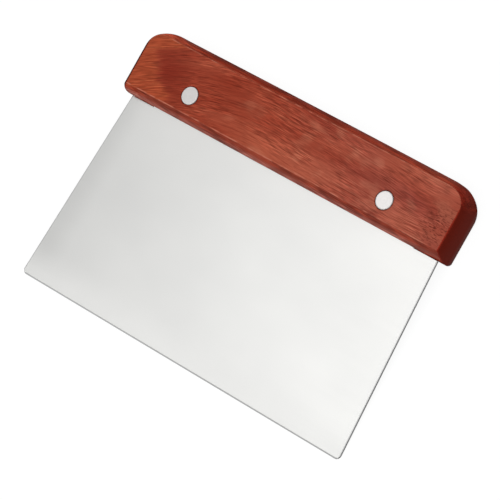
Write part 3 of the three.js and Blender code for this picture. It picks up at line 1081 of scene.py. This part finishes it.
def worked_metal():
    """A node group with the fine lines that finishing leaves on a metal, and its soft clouding."""
    group = bpy.data.node_groups.new("worked_metal", "ShaderNodeTree")
    add_sockets(group, "INPUT", "Vector", ["Place", "Line Scale", "Cloud Scale"])
    add_sockets(group, "OUTPUT", "Float", ["Lines", "Clouds"])
    given = group.nodes.new("NodeGroupInput").outputs
    made = group.nodes.new("NodeGroupOutput").inputs
    for scale, result in (("Line Scale", "Lines"), ("Cloud Scale", "Clouds")):
        factors = {0: given["Place"], 1: given[scale]}
        stretched = put(group, "ShaderNodeVectorMath", factors, operation="MULTIPLY")
        inputs = {"Vector": stretched.outputs[0], "Scale": 1.0, "Detail": FINISH_DETAIL}
        group.links.new(put(group, "ShaderNodeTexNoise", inputs).outputs["Fac"], made[result])
    return group


def sheet_edges(tree, axes):
    """Masks of the ground working edge with a painted shade strip along the sheet's sides, and of the sheared
    walls.
    """
    bevel = EDGE_BEVEL_HEIGHT / MM
    working = spread(tree, axes["Y"], bevel + GROUND_BLEND, bevel - GROUND_BLEND)
    lean = maths(tree, "MULTIPLY", axes["Y"], BLADE_FLARE / HANDLE_FOOT)
    side = maths(tree, "ADD", maths(tree, "ABSOLUTE", axes["X"]), lean)
    half_width = BLADE_EDGE_WIDTH / 2 / MM
    shade_strip = spread(tree, side, *(half_width - inset for inset in SHADE_STRIP_INSETS), 0.0, SHADE_STRIP_COVER)
    wall = spread(tree, maths(tree, "ABSOLUTE", axes["Z"]), *SHEARED_LEVELS)
    outer = spread(tree, side, *(half_width - inset for inset in SHEARED_INSETS))
    return maths(tree, "MAXIMUM", working, shade_strip), maths(tree, "MULTIPLY", wall, outer)


def blade_shading(tree, axes):
    """Painted reflected light: darker along the left side, and along the working edge brighter left than
    right.
    """
    low = spread(tree, axes["Y"], EDGE_GLOW_HEIGHT, 0.0)
    tilt = maths(tree, "ADD", maths(tree, "MULTIPLY", axes["X"], -EDGE_GLOW_TILT), EDGE_GLOW_GAIN)
    edge = maths(tree, "ADD", maths(tree, "MULTIPLY", low, tilt), 1.0)
    side_shade = maths(tree, "MULTIPLY", spread(tree, axes["X"], *SIDE_SHADE_SPAN), maths(tree, "SUBTRACT", 1.0, low))
    return maths(tree, "SUBTRACT", edge, maths(tree, "MULTIPLY", side_shade, SIDE_SHADE_DEPTH))


def satin_steel(finish):
    material, tree, shader = new_material("satin_steel")
    place = flat_place(tree, Vector((0, 0, 0)))
    axes = put(tree, "ShaderNodeSeparateXYZ", {"Vector": place}).outputs
    scales = {"Place": place, "Line Scale": STEEL_LINES, "Cloud Scale": STEEL_CLOUDS}
    worked = put(tree, "ShaderNodeGroup", scales, node_tree=finish)
    ground_and_shade, sheared = sheet_edges(tree, axes)
    colour = ramp(tree, worked.outputs["Clouds"], STEEL_TONES)
    # Painted reflected light across the blade
    colour = blend(tree, 1.0, colour, blade_shading(tree, axes), "MULTIPLY")
    # The ground working edge, and a painted shade strip along the sides
    colour = blend(tree, ground_and_shade, colour, GROUND_EDGE_AND_SHADE)
    colour = blend(tree, sheared, colour, SHEARED_EDGE)
    tree.links.new(colour, shader.inputs["Base Color"])
    lines = worked.outputs["Lines"]
    tree.links.new(spread(tree, lines, *STEEL_LINE_NOISE, *STEEL_ROUGHNESS), shader.inputs["Roughness"])
    bump = {"Strength": STEEL_RELIEF, "Distance": STEEL_LINE_DEPTH, "Height": lines}
    tree.links.new(put(tree, "ShaderNodeBump", bump).outputs["Normal"], shader.inputs["Normal"])
    tree.links.new(spread(tree, sheared, 0.0, 1.0, 1.0, SHEARED_SHINE), shader.inputs["Metallic"])
    return material


def turned_aluminium(finish):
    """Bright turned heads, with a scuffed rim."""
    material, tree, shader = new_material("turned_aluminium")
    turned = put(tree, "ShaderNodeAttribute", attribute_name="turned").outputs["Vector"]
    flat = put(tree, "ShaderNodeVectorMath", {0: turned, 1: (1 / MM, 1 / MM, 0.0)}, operation="MULTIPLY")
    radius = length(tree, flat.outputs[0])
    axes = put(tree, "ShaderNodeSeparateXYZ", {"Vector": flat.outputs[0]}).outputs
    place = put(tree, "ShaderNodeCombineXYZ", {"X": axes["X"], "Y": axes["Y"], "Z": radius}).outputs[0]
    scales = {"Place": place, "Line Scale": ALUMINIUM_LINES, "Cloud Scale": ALUMINIUM_CLOUDS}
    worked = put(tree, "ShaderNodeGroup", scales, node_tree=finish)
    rings = worked.outputs["Lines"]
    clouds = spread(tree, worked.outputs["Clouds"], *ALUMINIUM_CLOUD_NOISE, 0.0, ALUMINIUM_CLOUD_COVER)
    grey = blend(tree, clouds, ramp(tree, rings, ALUMINIUM_TONES), ALUMINIUM_DULL)
    tree.links.new(grey, shader.inputs["Base Color"])
    rim = (HEAD_RADIUS - HEAD_ROUND) / MM
    scuffed = spread(tree, radius, rim - SCUFF_BLEND, rim + SCUFF_BLEND, 0.0, SCUFF_ROUGHNESS)
    roughness = spread(tree, rings, *ALUMINIUM_RING_NOISE, *ALUMINIUM_ROUGHNESS)
    tree.links.new(maths(tree, "ADD", roughness, scuffed), shader.inputs["Roughness"])
    shader.inputs["Metallic"].default_value = 1.0
    return material


# Stage


def seen_rays(tree):
    """One on the rays that show the background: from the camera, and by reflection or through glass."""
    path = put(tree, "ShaderNodeLightPath").outputs
    seen = maths(tree, "MAXIMUM", path["Is Camera Ray"], path["Is Glossy Ray"])
    return maths(tree, "MAXIMUM", seen, path["Is Transmission Ray"])


def floor_glow(tree):
    """How white the floor shows. In reflections a painted shade darkens it near the scraper."""
    path = put(tree, "ShaderNodeLightPath").outputs
    place = put(tree, "ShaderNodeTexCoord").outputs["Object"]
    mirrored = maths(tree, "MAXIMUM", path["Is Glossy Ray"], path["Is Transmission Ray"])
    unshaded = spread(tree, length(tree, place), *FLOOR_SHADE_REACH)
    far = maths(tree, "MULTIPLY", mirrored, unshaded)
    return maths(tree, "MULTIPLY", maths(tree, "MAXIMUM", path["Is Camera Ray"], far), FLOOR_SEEN_GLOW)


def floor_material():
    """A floor that shows white, and keeps the scraper's shadow."""
    material, tree, shader = new_material("white_floor")
    shader.inputs["Base Color"].default_value = FLOOR_GREY
    shader.inputs["Roughness"].default_value = 1.0
    shader.inputs["Specular IOR Level"].default_value = 0.0
    shader.inputs["Emission Color"].default_value = WHITE
    tree.links.new(floor_glow(tree), shader.inputs["Emission Strength"])
    return material


def floor():
    half = FLOOR_SIZE / 2
    corners = [(-half, -half), (half, -half), (half, half), (-half, half)]
    mesh = make_mesh("floor", [Vector((x, y, -FLOOR_DROP)) for x, y in corners], [(0, 1, 2, 3)])
    mesh.materials.append(floor_material())
    made = make_object("floor", mesh)


def studio_world():
    """Plain soft light, with a white horizon, a grey ceiling and a dark zenith for the metal to show."""
    world = bpy.data.worlds.new("studio")
    world.use_nodes = True
    tree = world.node_tree
    direction = put(tree, "ShaderNodeTexCoord").outputs["Generated"]
    height = put(tree, "ShaderNodeSeparateXYZ", {"Vector": direction}).outputs["Z"]
    sky = {"Color": ramp(tree, height, SKY_TONES), "Strength": 1.0}
    seen = put(tree, "ShaderNodeBackground", sky).outputs["Background"]
    ambient = tree.nodes["Background"]
    ambient.inputs["Color"].default_value = WHITE
    ambient.inputs["Strength"].default_value = AMBIENT_STRENGTH
    mixed = put(tree, "ShaderNodeMixShader", {0: seen_rays(tree), 1: ambient.outputs["Background"], 2: seen})
    tree.links.new(mixed.outputs["Shader"], tree.nodes["World Output"].inputs["Surface"])
    bpy.context.scene.world = world


def softbox(name, place, aim, size, radiance, mirrored):
    """A lamp as bright as radiance, where 1 is white. One that isn't mirrored gives no gloss."""
    lamp = bpy.data.lights.new(name, "AREA")
    lamp.shape = "RECTANGLE"
    lamp.size, lamp.size_y = size
    lamp.energy = radiance * math.pi * size[0] * size[1]
    made = make_object(name, lamp)
    made.location = place
    made.rotation_euler = (Vector(aim) - Vector(place)).to_track_quat("-Z", "Y").to_euler()
    made.visible_glossy = mirrored


def camera():
    """The photograph's view: square on, then turned to the right and rolled."""
    back = Vector((math.sin(VIEW_TURN), 0, math.cos(VIEW_TURN)))
    level = Vector((0, 1, 0)).cross(back).normalized()
    rise = back.cross(level)
    right = math.cos(VIEW_ROLL) * level + math.sin(VIEW_ROLL) * rise
    up = math.cos(VIEW_ROLL) * rise - math.sin(VIEW_ROLL) * level
    data = bpy.data.cameras.new("camera")
    data.sensor_width = SENSOR_WIDTH
    data.lens = FOCAL_PIXELS * SENSOR_WIDTH / FRAME_PIXELS
    made = make_object("camera", data)
    turned = Matrix((right, up, back)).transposed().to_4x4()
    made.matrix_world = TO_BENCH @ Matrix.Translation(VIEW_TARGET + VIEW_DISTANCE * back) @ turned
    bpy.context.scene.camera = made


# Assembly


def dress(piece, slot, *nodes):
    """Lays a finished piece on the bench from the flat drawing, in place of its solids."""
    piece.data.transform(TO_BENCH)
    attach(piece, "root")
    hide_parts(*nodes)


def clad(piece, material):
    piece.data.materials.clear()
    piece.data.materials.append(material)


def scraper():
    bar = wooden_bar()
    clad(bar, lacquered_wood())
    dress(bar, "handle_wood", "handle")
    finish = worked_metal()
    blade = steel_blade()
    clad(blade, satin_steel(finish))
    dress(blade, "blade_steel", "blade")
    metal = turned_aluminium(finish)
    tree = rivet_row_tree()
    sleeves = rivet_row("rivet_sleeves", sleeve_profile(), tree, metal)
    dress(sleeves, "rivet_aluminium", "rivet_left_sleeve", "rivet_right_sleeve")
    pins = rivet_row("rivet_pins", pin_profile(), tree, metal)
    dress(pins, "rivet_aluminium", "rivet_left_pin", "rivet_right_pin")


bpy.context.scene.view_settings.view_transform = "Standard"
scraper()
floor()
studio_world()
for lamp in LAMPS:
    softbox(*lamp)
camera()
